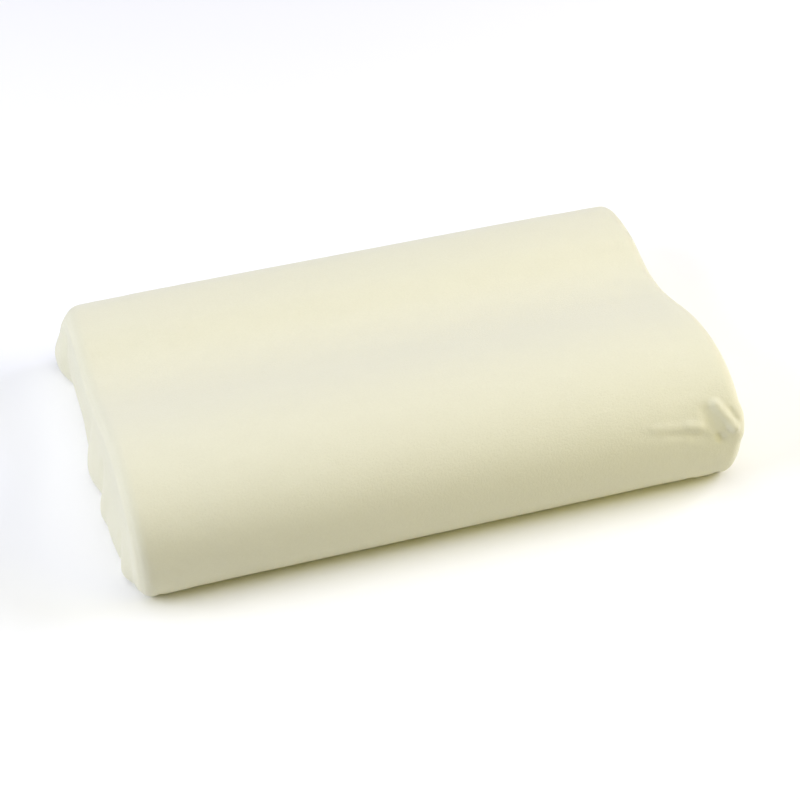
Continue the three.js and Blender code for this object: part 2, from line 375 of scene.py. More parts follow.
# Folds and creases: from, to, half width, height (negative is a hollow), in mm.
FOLDS = (
    # right front corner
    ((226, -140.5, 79.2), (238.5, -152.5, 63), 6.0, 2.8),
    ((237.5, -145, 75), (240.5, -150, 68), 3.4, -1.0),
    ((216.5, -143.5, 76.5), (220.5, -151, 66.5), 8.5, -1.6),
    ((172, -148, 71.5), (208, -150.2, 68), 6.5, 0.8),
    ((202, -149.3, 69.3), (209, -150.6, 67.3), 6.5, 1.1),
    ((160, -149.4, 69.5), (213, -153.4, 61.6), 6.0, -0.4),
    ((184, -151.8, 65.2), (213, -153.4, 61.6), 5.2, -0.6),
    ((205, -154, 60), (219, -155, 57.5), 6.5, -0.7),
    ((226, -154.8, 58.5), (228.5, -155.6, 55), 5.6, -2.6),
    ((236, -152.6, 63.5), (239, -152.8, 60.5), 3.8, 1.3),
    ((246, -146, 68), (247, -153, 56), 14.0, 2.6),
    # left end
    ((-250, 150, 70), (-250, 151, 60), 17.0, -2.2),
    ((-250, 117, 8), (-250, 127, 46), 7.0, -1.5),
    ((-250, 26, 6), (-250, 19, 42), 7.0, -1.0),
    ((-250, -33, 6), (-250, -27, 44), 6.5, -1.5),
    ((-250, -107, 6), (-250, -102, 36), 6.0, -1.3),
    # right end
    ((250, 98, 8), (250, 92, 46), 7.0, -1.4),
    ((250, 34, 8), (250, 30, 38), 7.0, -1.0),
    ((250, -60, 8), (250, -54, 48), 7.0, -1.4),
    ((250, -120, 10), (250, -110, 52), 7.0, -1.2),
)


def foot_slack(points, side, evenly, lumps, share):
    """How far an end's foot stands out on its own side of X: evenly (mm), and by a share of the lumps."""
    x, y, z = side * points[:, 0] / MM, points[:, 1] / MM, points[:, 2] / MM
    out = evenly * smooth(FOOT_COMES_IN, y) * (1 - FOOT_LET_UP_SHARE * smooth(FOOT_LETS_UP, y))
    for middle, half, height, power in lumps:
        out = out + share * height * bump((y - middle) / half, power)
    return out * MM * (1 - smooth(FOOT_TOP, z)) * smooth(FOOT_ROOT, x)


def folds(points):
    """How far the surface stands out along its normal in the folds and creases."""
    out = np.zeros(len(points))
    for start, end, half, height in FOLDS:
        out += height * MM * bump(to_segment(points, start, end) / (half * MM))
    return out


def let_out(points, left, right, share):
    """The points with the feet of both ends let out."""
    moved = points.copy()
    moved[:, 0] -= foot_slack(points, -1, left, LEFT_LUMPS, share)
    moved[:, 0] += foot_slack(points, 1, right, RIGHT_LUMPS, share)
    return moved


# Grooves that sewing draws in: depth and half width, in mm.
END_SEAM = (0.2, 2.6)
WINDOW_EDGE = (0.5, 1.6)
HEM_STITCHES = (0.3, 1.5)
HEM_WIDTH = 2.6  # from the window's edge to its stitches, in mm
CLOSED_SEAM = (0.8, 2.4)
CLOSED_SEAM_STARTS = (0, 4 * MM)  # beyond the window's end


def groove(distance, size):
    depth, half = size
    return depth * MM * bump(distance / (half * MM))


def sewn_in(form):
    """How far each ring point is drawn in by the end seams, the zip's hem and the seam beside the zip."""
    count = len(form.arcs)
    drawn = np.zeros(len(form.points))
    seam = END_RADIUS * math.asin((SEAM_X - FLAT_HALF) / END_RADIUS)
    from_zip = np.abs(form.arcs - sum(WINDOW_ARCS) / 2)
    from_edge = from_zip - WINDOW_HALF[1]
    for r, x in enumerate(form.ring_x):
        rows = slice(r * count, (r + 1) * count)
        if abs(x) > FLAT_HALF:
            at = END_RADIUS * math.asin(min(1, (abs(x) - FLAT_HALF) / END_RADIUS))
            drawn[rows] += groove(at - seam, END_SEAM)
        beyond = max(WINDOW_ENDS[0] - x, x - WINDOW_ENDS[1])
        if beyond < 0:
            drawn[rows] += groove(from_edge, WINDOW_EDGE)
            drawn[rows] += groove(from_edge - HEM_WIDTH * MM, HEM_STITCHES)
        else:
            drawn[rows] += smooth(CLOSED_SEAM_STARTS, beyond) * groove(from_zip, CLOSED_SEAM)
    return drawn


# ---- Cloth simulation of the slack ends ----
DRAPE_FROM = 150 * MM
DRAPE_FRAMES = 24
DRAPE_CAP = 4.5 * MM  # the furthest that the settling moves a point
DRAPE_CORE = (2.6 * MM, 6 * MM)  # inset and mesh of what the cloth settles on
DRAPE_GAP = 0.8 * MM  # what the cloth keeps from the core
DRAPE_SKIN = 0.4 * MM  # what the core keeps from the cloth
# Where the cover passes from tight to slack: along X, on the base, and at the zip's hem.
MIDDLE_X = (158 * MM, 205 * MM)
BASE_Z, BASE_X = (1 * MM, 6 * MM), (222 * MM, 238 * MM)
HEM_Y, HEM_X = (148 * MM, 154 * MM), (214 * MM, 232 * MM)
HEM_HALF_HEIGHT = 22 * MM
GROWN_X = (185 * MM, 236 * MM)  # and where it comes to be cut larger
GROUP_LEVELS = 20
DRAPE_CLOTH = {
    "quality": 6,
    "mass": 0.12,
    "tension_stiffness": 18,
    "compression_stiffness": 18,
    "shear_stiffness": 8,
    "bending_stiffness": 0.6,
    "vertex_group_mass": "pin",
    "vertex_group_shrink": "grow",
    "shrink_min": 0.0,
    "shrink_max": -0.045,  # the cloth is cut this much larger where the group is 1
    "use_pressure": True,
    "uniform_pressure_force": 0.25,
}


def pin_weights(points):
    """1 where the cover lies tight on the foam or is sewn to the zip, 0 where it is slack."""
    x, y, z = np.abs(points[:, 0]), points[:, 1], points[:, 2]
    middle = 1 - smooth(MIDDLE_X, x)
    base = (1 - smooth(BASE_Z, z)) * (1 - smooth(BASE_X, x))
    zip_hem = smooth(HEM_Y, y) * bump((z - ZIP_Z) / HEM_HALF_HEIGHT) ** 0.5 * (1 - smooth(HEM_X, x))
    return np.clip(np.maximum.reduce([middle, base, zip_hem]), 0, 1)


def set_group(piece, name, weights):
    """A vertex group with the weights, in even levels."""
    group = piece.vertex_groups.new(name=name)
    for level in range(1, GROUP_LEVELS + 1):
        ids = np.nonzero(np.round(weights * GROUP_LEVELS) == level)[0]
        if len(ids):
            group.add(ids.tolist(), level / GROUP_LEVELS, "REPLACE")


def make_slack_cloth(points, faces):
    """One end of the cover as cloth, held where it is tight and a little too large where it is slack."""
    cloth = new_object("drape", points, faces)
    set_group(cloth, "pin", pin_weights(points))
    set_group(cloth, "grow", smooth(GROWN_X, np.abs(points[:, 0])))
    modifier = cloth.modifiers.new("cloth", "CLOTH")
    for name, value in DRAPE_CLOTH.items():
        setattr(modifier.settings, name, value)
    modifier.collision_settings.distance_min = DRAPE_GAP
    modifier.collision_settings.collision_quality = 2
    modifier.point_cache.frame_end = DRAPE_FRAMES
    return cloth


def make_drape_core():
    form = core_form(*DRAPE_CORE)
    body = new_object("drape_core", form.points, form.faces)
    body.modifiers.new("collision", "COLLISION")
    body.collision.thickness_outer = DRAPE_SKIN
    return body


def drape_end(points, faces, side):
    """The points of one end after the slack cloth has settled on the core, and which points they are."""
    slack = [f for f in faces if all(side * points[v, 0] > DRAPE_FROM for v in f)]
    used, local = part_of(points, slack)
    cloth, body = make_slack_cloth(points[used], local), make_drape_core()
    scene = bpy.context.scene
    for step in range(1, DRAPE_FRAMES + 1):
        scene.frame_set(step)
    evaluated = cloth.evaluated_get(bpy.context.evaluated_depsgraph_get())
    settled = np.zeros(len(used) * 3)
    evaluated.data.vertices.foreach_get("co", settled)
    shift = settled.reshape(-1, 3) - points[used]
    far = np.linalg.norm(shift, axis=1)
    shift *= (DRAPE_CAP * np.tanh(far / DRAPE_CAP) / np.maximum(far, 1e-9))[:, None]
    for made in (cloth, body):
        bpy.data.objects.remove(made)
    scene.frame_set(1)
    return used, points[used] + shift


def soften(points, faces, ids, rounds=2):
    """Evens out the given points between their neighbours."""
    pairs = np.array([(a, b) for f in faces for a, b in zip(f, f[1:] + f[:1])])
    chosen = np.zeros(len(points), bool)
    chosen[ids] = True
    for _ in range(rounds):
        total, count = np.zeros_like(points), np.zeros(len(points))
        for a, b in (pairs.T, pairs.T[::-1]):
            np.add.at(total, a, points[b])
            np.add.at(count, a, 1)
        mean = total / np.maximum(count, 1)[:, None]
        points[chosen] += 0.5 * (mean - points)[chosen]
    return points


# ---- Forms of the cover, the liner and the core ----
MIDDLE_HALF = 160 * MM  # the plain middle, with the coarsest mesh
HEM_MARGIN = 8 * MM
FRONT_FOLDS = (86 * MM, 44 * MM)  # the front's folds lie between these heights
HEM_CELL, WINDOW_CELL, FOLD_CELL = 1.2 * MM, 1.25 * MM, 2.1 * MM
END_CELL, SIDE_CELL, MIDDLE_CELL = 2 * MM, 3 * MM, 8 * MM
CORE_CELL = 5 * MM
UNSEWN = 3 * MM  # from the end to the seam's rings, in a form without a seam


def cover_form():
    """The cover, finer at the zip, over the front's folds and towards the ends."""
    low, high = WINDOW_ARCS
    front = [arc_at_front(z) for z in FRONT_FOLDS]
    breaks = [0, low - HEM_MARGIN, low, high, high + HEM_MARGIN, *front, PERIMETER]
    arcs = spread(breaks, [CELL, HEM_CELL, WINDOW_CELL, HEM_CELL, CELL, FOLD_CELL, CELL])[:-1]
    breaks = [-FLAT_HALF, WINDOW_ENDS[0], -MIDDLE_HALF, MIDDLE_HALF, WINDOW_ENDS[1], FLAT_HALF]
    return Form(arcs, spread(breaks, [END_CELL, SIDE_CELL, MIDDLE_CELL, SIDE_CELL, END_CELL]))


def core_form(inset, spacing=CORE_CELL, seam=None):
    """A plain form at an inset, for the liner and the core."""
    arcs = spread([0, PERIMETER], [spacing])[:-1]
    straight = spread([-FLAT_HALF, -MIDDLE_HALF, MIDDLE_HALF, FLAT_HALF], [spacing, 2 * spacing, spacing])
    return Form(arcs, straight, inset, seam or HALF_LENGTH - inset - UNSEWN, (5, 4), spacing)


def pressed_in(form, inset):
    """Where the cover's folds press in on a layer under it."""
    outer = form.points + form.normals * inset
    return np.minimum(folds(outer), 0)


def settled_cover():
    """The cover's form, and its points with every fold, after the cloth simulation."""
    form = cover_form()
    points = let_out(form.points, *BEFORE_DRAPE)
    for side in (-1, 1):
        used, moved = drape_end(points, form.faces, side)
        points[used] = moved
        points = soften(points, form.faces, used)
    normals = vertex_normals(points, form.faces)
    points = points + normals * folds(form.points)[:, None]
    points += let_out(form.points, *AFTER_DRAPE) - form.points
    points[:, 2] = np.maximum(points[:, 2], 0)
    normals = vertex_normals(points, form.faces)
    return form, points - normals * sewn_in(form)[:, None]


# ---- Materials ----
def new_material(name, **sockets):
    material = bpy.data.materials.new(name)
    material.use_nodes = True
    shader = material.node_tree.nodes["Principled BSDF"]
    for key, value in sockets.items():
        shader.inputs[key.replace("_", " ")].default_value = value
    return material, material.node_tree, shader


def node(tree, kind, **inputs):
    made = tree.nodes.new(kind)
    for key, value in inputs.items():
        made.inputs[key.replace("_", " ")].default_value = value
    return made


def place_on_piece(tree, scale=(1, 1, 1)):
    """Object coordinates, scaled along X, Y and Z."""
    place = tree.nodes.new("ShaderNodeTexCoord")
    mapping = node(tree, "ShaderNodeMapping", Scale=scale)
    tree.links.new(place.outputs["Object"], mapping.inputs["Vector"])
    return mapping.outputs["Vector"]


def noise(tree, vector, scale, detail=2.0, roughness=0.5):
    made = node(tree, "ShaderNodeTexNoise", Scale=scale, Detail=detail, Roughness=roughness)
    tree.links.new(vector, made.inputs["Vector"])
    return made.outputs["Fac"]


def feed(tree, socket, value):
    """Links an output to the socket, or sets the socket to a number or a colour."""
    if isinstance(value, bpy.types.NodeSocket):
        tree.links.new(value, socket)
    elif isinstance(value, tuple):
        socket.default_value = (*value, 1)
    else:
        socket.default_value = value


def math_node(tree, operation, a, b):
    made = tree.nodes.new("ShaderNodeMath")
    made.operation = operation
    for socket, value in zip(made.inputs, (a, b)):
        feed(tree, socket, value)
    return made.outputs[0]


MIX_A, MIX_B, MIX_RESULT = 6, 7, 2  # a mix node's colour sockets


def mix_colour(tree, factor, a, b, blend="MIX"):
    made = tree.nodes.new("ShaderNodeMix")
    made.data_type, made.blend_type = "RGBA", blend
    feed(tree, made.inputs["Factor"], factor)
    feed(tree, made.inputs[MIX_A], a)
    feed(tree, made.inputs[MIX_B], b)
    return made.outputs[MIX_RESULT]


def add_bump(tree, shader, height, strength, distance):
    made = node(tree, "ShaderNodeBump", Strength=strength, Distance=distance)
    tree.links.new(height, made.inputs["Height"])
    tree.links.new(made.outputs["Normal"], shader.inputs["Normal"])


# Each material's darker and lighter colour.
VELOUR = ((0.745, 0.722, 0.552), (0.776, 0.756, 0.582))
VELOUR_CAST = ((1.0, 0.993, 0.99), (0.993, 0.998, 1.0))  # its warmer and cooler patches
JERSEY = ((0.66, 0.66, 0.63), (0.84, 0.84, 0.81))
FOAM = ((0.62, 0.57, 0.38), (0.83, 0.80, 0.64))
FOAM_AGED = (0.84, 0.79, 0.58)
TAPE = ((0.62, 0.59, 0.46), (0.80, 0.775, 0.64))
NYLON = ((0.70, 0.67, 0.53), (0.86, 0.84, 0.72))
NICKEL = ((0.36, 0.35, 0.33), (0.50, 0.49, 0.465))
SATIN = ((0.81, 0.80, 0.75), (0.90, 0.89, 0.85))
THREAD = ((0.68, 0.65, 0.50), (0.88, 0.86, 0.74))


def velour_material():
    """Short cut pile: a fine fuzzy nap, brushed here and there, over soft cream."""
    material, tree, shader = new_material(
        "velour", Roughness=0.95, Specular_IOR_Level=0.12, Sheen_Weight=0.35, Sheen_Roughness=0.5
    )
    even = place_on_piece(tree)
    along = place_on_piece(tree, (0.45, 1, 1))
    nap = noise(tree, even, 620, 3, 0.65)
    brushed = noise(tree, along, 70, 3, 0.6)
    cloudy = noise(tree, even, 7, 1, 0.4)
    tuft = math_node(tree, "ADD", nap, math_node(tree, "MULTIPLY", brushed, 0.35))
    shade = node(tree, "ShaderNodeMapRange", From_Min=0.4, From_Max=0.95)
    tree.links.new(tuft, shade.inputs["Value"])
    pile = mix_colour(tree, shade.outputs["Result"], *VELOUR)
    warm = mix_colour(tree, cloudy, *VELOUR_CAST)
    tree.links.new(mix_colour(tree, 1, pile, warm, "MULTIPLY"), shader.inputs["Base Color"])
    fibres = noise(tree, even, 2100, 2, 0.7)
    height = math_node(tree, "ADD", math_node(tree, "MULTIPLY", brushed, 0.15), nap)
    height = math_node(tree, "ADD", math_node(tree, "MULTIPLY", fibres, 0.5), height)
    add_bump(tree, shader, height, 0.5, 0.7 * MM)
    return material


def knit_material():
    """Fine jersey: columns of small loops."""
    material, tree, shader = new_material("jersey", Roughness=0.9, Sheen_Weight=0.2)
    place = place_on_piece(tree)
    columns = node(tree, "ShaderNodeTexWave", Scale=110, Distortion=1.5, Detail_Scale=3)
    rows = node(tree, "ShaderNodeTexWave", Scale=160, Distortion=2.0, Detail_Scale=3)
    rows.bands_direction = "Z"
    for wave_node in (columns, rows):
        tree.links.new(place, wave_node.inputs["Vector"])
    loops = math_node(tree, "MULTIPLY", columns.outputs["Fac"], rows.outputs["Fac"])
    colour = mix_colour(tree, loops, *JERSEY)
    tree.links.new(colour, shader.inputs["Base Color"])
    add_bump(tree, shader, loops, 0.5, 0.4 * MM)
    return material


def foam_material():
    """Memory foam: pale, with small open pores."""
    material, tree, shader = new_material("foam", Roughness=0.85, Subsurface_Weight=0.1)
    place = place_on_piece(tree)
    pores = node(tree, "ShaderNodeTexVoronoi", Scale=420)
    tree.links.new(place, pores.inputs["Vector"])
    cloudy = noise(tree, place, 18)
    colour = mix_colour(tree, pores.outputs["Distance"], *FOAM)
    aged = mix_colour(tree, cloudy, colour, FOAM_AGED)
    tree.links.new(aged, shader.inputs["Base Color"])
    add_bump(tree, shader, pores.outputs["Distance"], 0.6, 0.5 * MM)
    return material


def tape_material():
    """Woven polyester zip tape."""
    material, tree, shader = new_material("zip_tape", Roughness=0.75, Sheen_Weight=0.1)
    place = place_on_piece(tree)
    warp = node(tree, "ShaderNodeTexWave", Scale=190, Distortion=0.4)
    weft = node(tree, "ShaderNodeTexWave", Scale=240, Distortion=0.4)
    warp.bands_direction = "Z"
    for wave_node in (warp, weft):
        tree.links.new(place, wave_node.inputs["Vector"])
    weave = math_node(tree, "MULTIPLY", warp.outputs["Fac"], weft.outputs["Fac"])
    colour = mix_colour(tree, weave, *TAPE)
    tree.links.new(colour, shader.inputs["Base Color"])
    add_bump(tree, shader, weave, 0.6, 0.2 * MM)
    return material


def nylon_material():
    """Smooth nylon, drawn along the wire."""
    material, tree, shader = new_material("nylon_coil", Roughness=0.32, Specular_IOR_Level=0.55)
    place = place_on_piece(tree)
    streaks = noise(tree, place, 260, 3)
    colour = mix_colour(tree, streaks, *NYLON)
    tree.links.new(colour, shader.inputs["Base Color"])
    add_bump(tree, shader, streaks, 0.15, 0.1 * MM)
    return material


def metal_material():
    """Nickel-plated zinc, lightly scratched."""
    material, tree, shader = new_material("nickel", Metallic=1.0)
    place = place_on_piece(tree, (1, 0.2, 1))
    scratches = noise(tree, place, 900, 4, 0.7)
    cloudy = noise(tree, place, 160)
    colour = mix_colour(tree, cloudy, *NICKEL)
    tree.links.new(colour, shader.inputs["Base Color"])
    rough = node(tree, "ShaderNodeMapRange", To_Min=0.18, To_Max=0.34)
    tree.links.new(scratches, rough.inputs["Value"])
    tree.links.new(rough.outputs["Result"], shader.inputs["Roughness"])
    add_bump(tree, shader, scratches, 0.12, 0.05 * MM)
    return material


def satin_material():
    """Woven satin: long smooth floats, bound down at fine steps."""
    material, tree, shader = new_material("satin", Roughness=0.38, Anisotropic=0.5, Sheen_Weight=0.15)
    place = place_on_piece(tree)
    floats = node(tree, "ShaderNodeTexWave", Scale=520, Distortion=0.6, Detail=1)
    steps = noise(tree, place_on_piece(tree, (1, 1, 0.25)), 900, 2)
    tree.links.new(place, floats.inputs["Vector"])
    weave = math_node(tree, "MULTIPLY", floats.outputs["Fac"], steps)
    colour = mix_colour(tree, weave, *SATIN)
    tree.links.new(colour, shader.inputs["Base Color"])
    add_bump(tree, shader, weave, 0.12, 0.06 * MM)
    return material


def thread_material():
    """Two-ply sewing thread, twisted."""
    material, tree, shader = new_material("thread", Roughness=0.55, Sheen_Weight=0.1)
    twist = node(tree, "ShaderNodeTexWave", Scale=420, Distortion=0.5)
    twist.bands_direction = "DIAGONAL"
    tree.links.new(place_on_piece(tree), twist.inputs["Vector"])
    colour = mix_colour(tree, twist.outputs["Fac"], *THREAD)
    tree.links.new(colour, shader.inputs["Base Color"])
    add_bump(tree, shader, twist.outputs["Fac"], 0.5, 0.08 * MM)
    return material


# ---- Pieces ----
def finish_piece(piece, material, cad_node, body="pillow"):
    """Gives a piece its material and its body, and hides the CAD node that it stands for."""
    piece.data.materials.append(material)
    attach(piece, body)
    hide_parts(cad_node)


def cloth_panel(name, points, normals, faces, thickness, material, cad_node):
    """One panel of the form, as closed cloth; its shading runs on evenly over the seams."""
    used, local = part_of(points, faces)
    piece = new_object(name, *thicken(points[used], local, thickness))
    shading = np.concatenate([normals[used], -normals[used]])
    corners = []
    for face in piece.data.polygons:
        if face.index < 2 * len(local):
            corners.extend(shading[v] for v in face.vertices)
        else:
            face.use_smooth = False
            corners.extend([(0, 0, 0)] * len(face.vertices))
    piece.data.normals_split_custom_set(corners)
    finish_piece(piece, material, cad_node)
    return piece


def part_seams(form, points, gap):
    """Copies of the points for the wrap and for the ends, drawn apart at the seams by the gap."""
    count = len(form.arcs)
    wrap, ends = points.copy(), points.copy()
    for ring in form.seam_rings:
        rows = slice(ring * count, (ring + 1) * count)
        away = gap / 2 * np.sign(form.ring_x[ring])
        wrap[rows, 0] -= away
        ends[rows, 0] += away
    return wrap, ends


def wrap_size(inset, seam):
    """A wrap's cut: its length from seam to seam along the cloth, and once round the outline."""
    radius = END_RADIUS - inset
    length = 2 * (FLAT_HALF + radius * math.asin((seam - FLAT_HALF) / radius))
    return length, PERIMETER - 2 * math.pi * inset


def end_size(inset):
    """An end panel's cut: its width and height, and the area inside its outline."""
    outline = ROUND[:-1]
    after = np.roll(outline, -1, 0)
    area = abs((outline[:, 0] * after[:, 1] - after[:, 0] * outline[:, 1]).sum()) / 2
    width, height = REAR - FRONT - 2 * inset, COVER_HIGH.z - 2 * inset
    return (width, height), area - PERIMETER * inset


def declare_sheets(inset, seam, window=0.0):
    """Works out the panels' flat sizes and keeps them nowhere; window is the area cut out of the wrap."""
    size = wrap_size(inset, seam)
    area = size[0] * size[1] - window
    size, area = end_size(inset)


NEAR = 1e-6
COVER_SEAM_GAP = 0.03 * MM
LINER_SEAM_GAP = 0.3 * MM


def in_window(form, place):
    """Whether the wrap's face at a place (ring, number round the ring) lies in the zip's opening."""
    values = (form.ring_x[place[0]], form.arcs[place[1]])
    limits = (WINDOW_ENDS, WINDOW_ARCS)
    return all(low - NEAR <= value < high - NEAR for value, (low, high) in zip(values, limits))


def make_cover():
    form, points = settled_cover()
    material = velour_material()
    normals = vertex_normals(points, form.faces)
    wrap_points, end_points = part_seams(form, points, COVER_SEAM_GAP)
    left, wrap, right = form.panels()
    wrap = [f for f, place in wrap if not in_window(form, place)]
    made = [
        cloth_panel(name, source, normals, faces, COVER_THICK, material, cad_node)
        for name, source, faces, cad_node in (
            ("velour_wrap", wrap_points, wrap, "cover_wrap_panel"),
            ("velour_end_left", end_points, left, "cover_end_panel_left"),
            ("velour_end_right", end_points, right, "cover_end_panel_right"),
        )
    ]
    window = 4 * WINDOW_HALF[0] * WINDOW_HALF[1]
    declare_sheets(0.0, SEAM_X, window)


def make_liner():
    form = core_form(LINER_INSET, seam=LINER_SEAM_X)
    points = form.points + form.normals * pressed_in(form, LINER_INSET)[:, None]
    wrap_points, end_points = part_seams(form, points, LINER_SEAM_GAP)
    left, wrap, right = form.panels()
    material = knit_material()
    made = [
        cloth_panel(name, source, form.normals, faces, LINER_THICK, material, cad_node)
        for name, source, faces, cad_node in (
            ("jersey_sleeve", wrap_points, [f for f, _ in wrap], "liner_sleeve"),
            ("jersey_end_left", end_points, left, "liner_end_left"),
            ("jersey_end_right", end_points, right, "liner_end_right"),
        )
    ]
    declare_sheets(LINER_INSET, LINER_SEAM_X)


def make_core():
    form = core_form(CORE_INSET)
    points = form.points + form.normals * pressed_in(form, CORE_INSET)[:, None]
    piece = new_object("foam_block", points, form.faces)
    finish_piece(piece, foam_material(), "foam_core")


def swept(sections, closed):
    """Points and faces of a tube through sections of equal count, each a loop of points."""
    points = np.concatenate(sections)
    count = len(sections[0])
    faces = []
    for r in range(len(sections) if closed else len(sections) - 1):
        a, b = r * count, (r + 1) % len(sections) * count
        for i in range(count):
            j = (i + 1) % count
            faces.append((a + i, a + j, b + j, b + i))
    if not closed:
        faces.append(tuple(reversed(range(count))))
        faces.append(tuple(range(len(points) - count, len(points))))
    return points, faces


def joined(parts):
    """Several meshes as one."""
    points, faces, start = [], [], 0
    for some_points, some_faces in parts:
        points.append(some_points)
        faces += [tuple(v + start for v in f) for f in some_faces]
        start += len(some_points)
    return np.concatenate(points), faces


# The overlocked seam allowance.
OVERLOCK_STEP = 0.8 * MM
OVERLOCK_MIDDLE, OVERLOCK_HALF = 1.25 * MM, 0.8 * MM  # depth of its middle, and half its height
OVERLOCK_LOOPS = (0.12 * MM, 2.4 * MM)  # how far the thread's loops stand out, and their pitch


def squarish(value):
    """A sine or cosine for a section between a circle and a square."""
    return np.sign(value) * abs(value) ** 0.6


def drawn_at_end(x):
    """How far the rounded end draws the outline in at x."""
    if x <= FLAT_HALF:
        return 0.0
    return END_RADIUS * (1 - math.cos(math.asin((x - FLAT_HALF) / END_RADIUS)))


def make_overlock(side, name, material):
    """The end seam's allowance inside the cover: two cloth edges bound by overlock thread."""
    low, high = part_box(f"end_seam_overlock_{name}")
    middle, half = (abs(low.x) + abs(high.x)) / 2, (high.x - low.x) / 2
    arcs = spread([0, PERIMETER], [OVERLOCK_STEP])[:-1]
    around, normal = on_outline(arcs)
    height, pitch = OVERLOCK_LOOPS
    loops = height * np.cos(2 * math.pi * arcs / pitch)
    rings = []
    for turn in np.linspace(0, 2 * math.pi, 12, endpoint=False):
        x = middle + half * squarish(math.cos(turn))
        depth = OVERLOCK_MIDDLE - OVERLOCK_HALF * squarish(math.sin(turn))
        drawn = COVER_HIGH.z - high.z + depth + drawn_at_end(x) + loops * abs(math.sin(turn))
        rings.append(np.column_stack([np.full(len(arcs), side * x), around - normal * drawn[:, None]]))
    points, faces = swept(list(np.stack(rings, 1)), closed=True)
    if side < 0:
        faces = [f[::-1] for f in faces]
    piece = new_object(f"overlock_{name}", points, faces)
    finish_piece(piece, material, f"end_seam_overlock_{name}")


# A zip coil.
COIL_PITCH = 1.4 * MM
COIL_WIRE = 0.28 * MM  # its radius
COIL_INNER = 0.29 * MM  # from the zip's middle to the loops, so that the slider's divider passes
COIL_STEPS, COIL_SIDES = 12, 6  # steps in a turn, and sides of the wire


def coil_line(name):
    """Points along a coil's axis, and how far the wire's middle stands off the axis at each."""
    low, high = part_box(f"zip_coil_{name}")
    sign, shift, outer = (1, 0, high.z) if name == "upper" else (-1, COIL_PITCH / 2, low.z)
    inner = ZIP_Z + sign * COIL_INNER
    half_z = abs(outer - inner) / 2 - COIL_WIRE
    half_y = (high.y - low.y) / 2 - COIL_WIRE
    turns = int((high.x - low.x - 2 * COIL_WIRE) / COIL_PITCH) - 1
    angle = np.linspace(0, 2 * math.pi * turns, turns * COIL_STEPS + 1)
    axis = np.zeros((len(angle), 3))
    axis[:, 0] = low.x + COIL_WIRE + shift + COIL_PITCH * angle / (2 * math.pi)
    axis[:, 1] = (low.y + high.y) / 2
    axis[:, 2] = (outer + inner) / 2
    off = np.column_stack([0 * angle, half_y * np.sin(angle), -sign * half_z * np.cos(angle)])
    return axis, off


def make_coil(name, material):
    """A nylon spiral along one side of the zip; its loops stop just short of the slider's divider."""
    axis, off = coil_line(name)
    tangent = unit(np.gradient(axis + off, axis=0))
    outwards = unit(off - (off * tangent).sum(1)[:, None] * tangent)
    sideways = np.cross(tangent, outwards)
    turn = np.linspace(0, 2 * math.pi, COIL_SIDES, endpoint=False)[None, :, None]
    ring = np.cos(turn) * outwards[:, None] + np.sin(turn) * sideways[:, None]
    sections = list((axis + off)[:, None] + COIL_WIRE * ring)
    piece = new_object(f"coil_{name}", *swept(sections, closed=False))
    finish_piece(piece, material, f"zip_coil_{name}")


# Rows of stitches: y, pitch, and the share of the pitch that a stitch takes up.
TOPSTITCH = (REAR + 0.02 * MM, 3.1 * MM, 0.82)
LABEL_STITCHES = (REAR + 0.1 * MM, 3 * MM, 0.8)
STITCH_RADIUS = 0.24 * MM
STITCH_LIFT = 0.3 * MM
STITCH_SINK = 0.6  # share of the lift that lies under the cloth
STITCH_THIN = 0.35  # share of the thickness left where the thread dives in


def stitch(start, end):
    """One stitch: a thread that rises from the cloth, lies on it, and dives in again."""
    start, end = np.array(start), np.array(end)
    out = np.array([0, 1.0, 0])
    across = np.cross((end - start) / np.linalg.norm(end - start), out)
    turn = np.linspace(0, 2 * math.pi, 7, endpoint=False)[:, None]
    ring = np.cos(turn) * out + np.sin(turn) * across
    sections = []
    for t in np.linspace(0, 1, 7):
        arch = math.sin(math.pi * t) ** 0.5
        thick = STITCH_RADIUS * (STITCH_THIN + (1 - STITCH_THIN) * arch)
        middle = start + (end - start) * t + STITCH_LIFT * (arch - STITCH_SINK) * out
        sections.append(middle + thick * ring)
    return swept(sections, closed=False)


def make_stitches(name, cad_node, row, material):
    """A row of stitches along its CAD node."""
    y, pitch, share = row
    low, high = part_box(cad_node)
    z = (low.z + high.z) / 2
    starts = low.x + pitch * np.arange(int((high.x - low.x) / pitch))
    parts = [stitch((x, y, z), (x + share * pitch, y, z)) for x in starts]
    piece = new_object(name, *joined(parts))
    finish_piece(piece, material, cad_node)


# The care label, of satin ribbon.
LABEL_THICK = 0.16 * MM
LABEL_FOLD = 0.24 * MM  # radius of its fold
LABEL_CLEAR = 0.1 * MM  # from the back of its CAD node
LABEL_CURL = 0.9 * MM
LABEL_TWIST = 0.25 * MM
LABEL_NARROWING = 0.012


def label_profile(low, high):
    """The folded label's section (y, z): down its back, round the fold and up its front."""
    back, fold = low.y + LABEL_CLEAR, LABEL_FOLD
    drop = np.linspace(high.z, low.z + fold, 14)
    angles = np.linspace(0, math.pi, 7)[1:-1]
    bend = [(back + fold - fold * math.cos(a), low.z + fold - fold * math.sin(a)) for a in angles]
    return np.array([(back, z) for z in drop] + bend + [(back + 2 * fold, z) for z in drop[::-1]])


